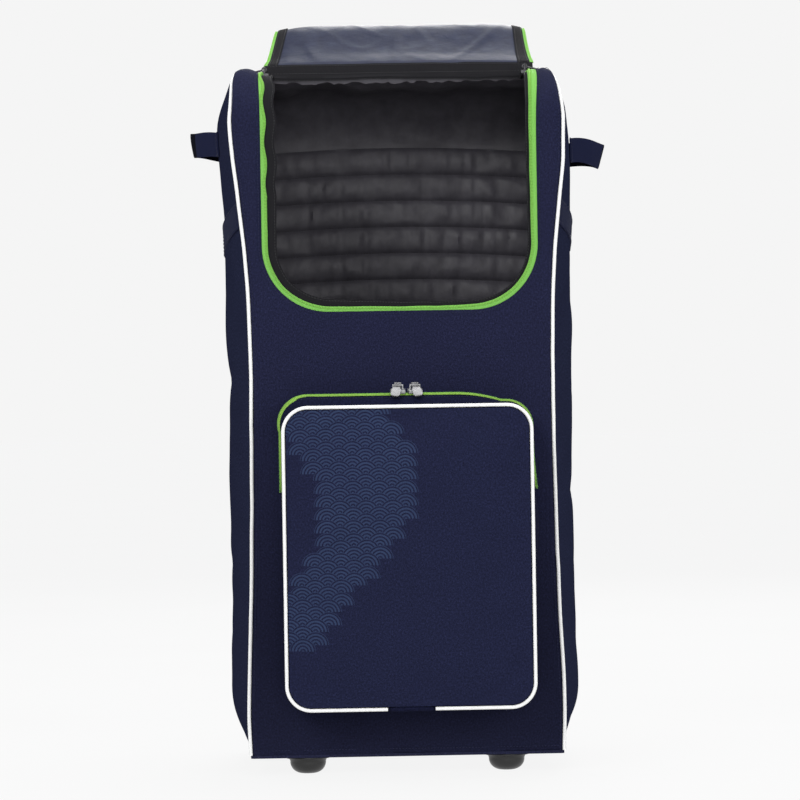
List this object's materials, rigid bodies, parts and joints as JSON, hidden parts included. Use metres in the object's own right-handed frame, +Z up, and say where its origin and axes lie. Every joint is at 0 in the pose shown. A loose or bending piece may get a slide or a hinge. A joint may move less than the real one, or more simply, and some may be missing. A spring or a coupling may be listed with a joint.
{
  "type": "wheeled cricket kit bag",
  "caption": "Upright wheeled duffle for cricket kit, lid unzipped and thrown back, with a boxed front pocket, piped seams and domed feet.",
  "frame": {"origin": "middle of the footprint of the whole bag, on the floor it stands on", "axes": "+Z up along the bag's length, +X to the right as seen from the front, the pocket and the opening face -Y"},
  "size_m": [0.5432, 0.4394, 0.9947],
  "materials": {
    "navy_cloth": "woven navy polyester",
    "pocket_cloth": "navy cloth with a tone-on-tone pattern",
    "base_board": "navy cloth over a stiff board",
    "white_piping": "white woven cord",
    "green_zip": "green zip tape with a ribbed coil",
    "black_binding": "black ribbed tape",
    "black_lining": "coated black lining, slightly glossy",
    "blue_grey_lining": "coated blue-grey lining, slightly glossy",
    "webbing": "ribbed navy webbing",
    "bright_metal": "bright nickel",
    "dark_metal": "dark nickel",
    "black_plastic": "glossy black plastic",
    "wheel_rubber": "black rubber",
    "screw_steel": "satin steel"
  },
  "bodies": {
    "bag": {"front_panel": "navy_cloth", "top_panel": "navy_cloth", "back_panel": "navy_cloth", "bottom_panel": "base_board", "gusset_left": "navy_cloth", "gusset_right": "navy_cloth", "piping_left": "white_piping", "piping_right": "white_piping", "main_zip": "green_zip", "opening_binding": "black_binding", "back_lining": "black_lining", "hinge_band": "black_binding", "lid_shell": "navy_cloth", "lid_lining": "blue_grey_lining", "lid_zip": "green_zip", "lid_binding": "black_binding", "pocket_face": "pocket_cloth", "pocket_gusset": "navy_cloth", "pocket_piping": "white_piping", "pocket_piping_joint": "navy_cloth", "pocket_zip": "green_zip", "pocket_left_slider": "bright_metal", "pocket_right_slider": "bright_metal", "main_left_slider": "dark_metal", "main_right_slider": "dark_metal", "side_loop_left": "webbing", "side_loop_right": "webbing", "side_tab_left": "webbing", "side_tab_right": "webbing", "foot_left": "black_plastic", "foot_right": "black_plastic", "foot_screw_left": "screw_steel", "foot_screw_right": "screw_steel", "wheel_housing_left": "black_plastic", "wheel_housing_right": "black_plastic", "wheel_axle_left": "screw_steel", "wheel_axle_right": "screw_steel"},
    "wheel_left_body": {"wheel_left": "wheel_rubber"},
    "wheel_right_body": {"wheel_right": "wheel_rubber"},
    "pocket_left_pull_body": {"pocket_left_pull": "bright_metal"},
    "pocket_right_pull_body": {"pocket_right_pull": "bright_metal"},
    "main_left_pull_body": {"main_left_pull": "dark_metal"},
    "main_right_pull_body": {"main_right_pull": "dark_metal"}
  },
  "joints": [
    {"name": "wheel_left_spin", "type": "hinge", "parent": "bag", "child": "wheel_left_body", "pos_m": [-0.15, 0.1703, 0.03], "axis": [1, 0, 0], "continuous": true},
    {"name": "wheel_right_spin", "type": "hinge", "parent": "bag", "child": "wheel_right_body", "pos_m": [0.15, 0.1703, 0.03], "axis": [1, 0, 0], "continuous": true},
    {"name": "pocket_left_pull_hinge", "type": "hinge", "parent": "bag", "child": "pocket_left_pull_body", "pos_m": [-0.0068, -0.19012, 0.49683], "axis": [-1, 0, 0], "range_deg": [0, 190]},
    {"name": "pocket_right_pull_hinge", "type": "hinge", "parent": "bag", "child": "pocket_right_pull_body", "pos_m": [0.0148, -0.19012, 0.49683], "axis": [-1, 0, 0], "range_deg": [0, 190]},
    {"name": "main_left_pull_hinge", "type": "hinge", "parent": "bag", "child": "main_left_pull_body", "pos_m": [-0.1715, -0.0134, 0.91509], "axis": [0, 1, 0], "range_deg": [0, 180]},
    {"name": "main_right_pull_hinge", "type": "hinge", "parent": "bag", "child": "main_right_pull_body", "pos_m": [0.1715, -0.0134, 0.91509], "axis": [0, -1, 0], "range_deg": [0, 180]}
  ]
}
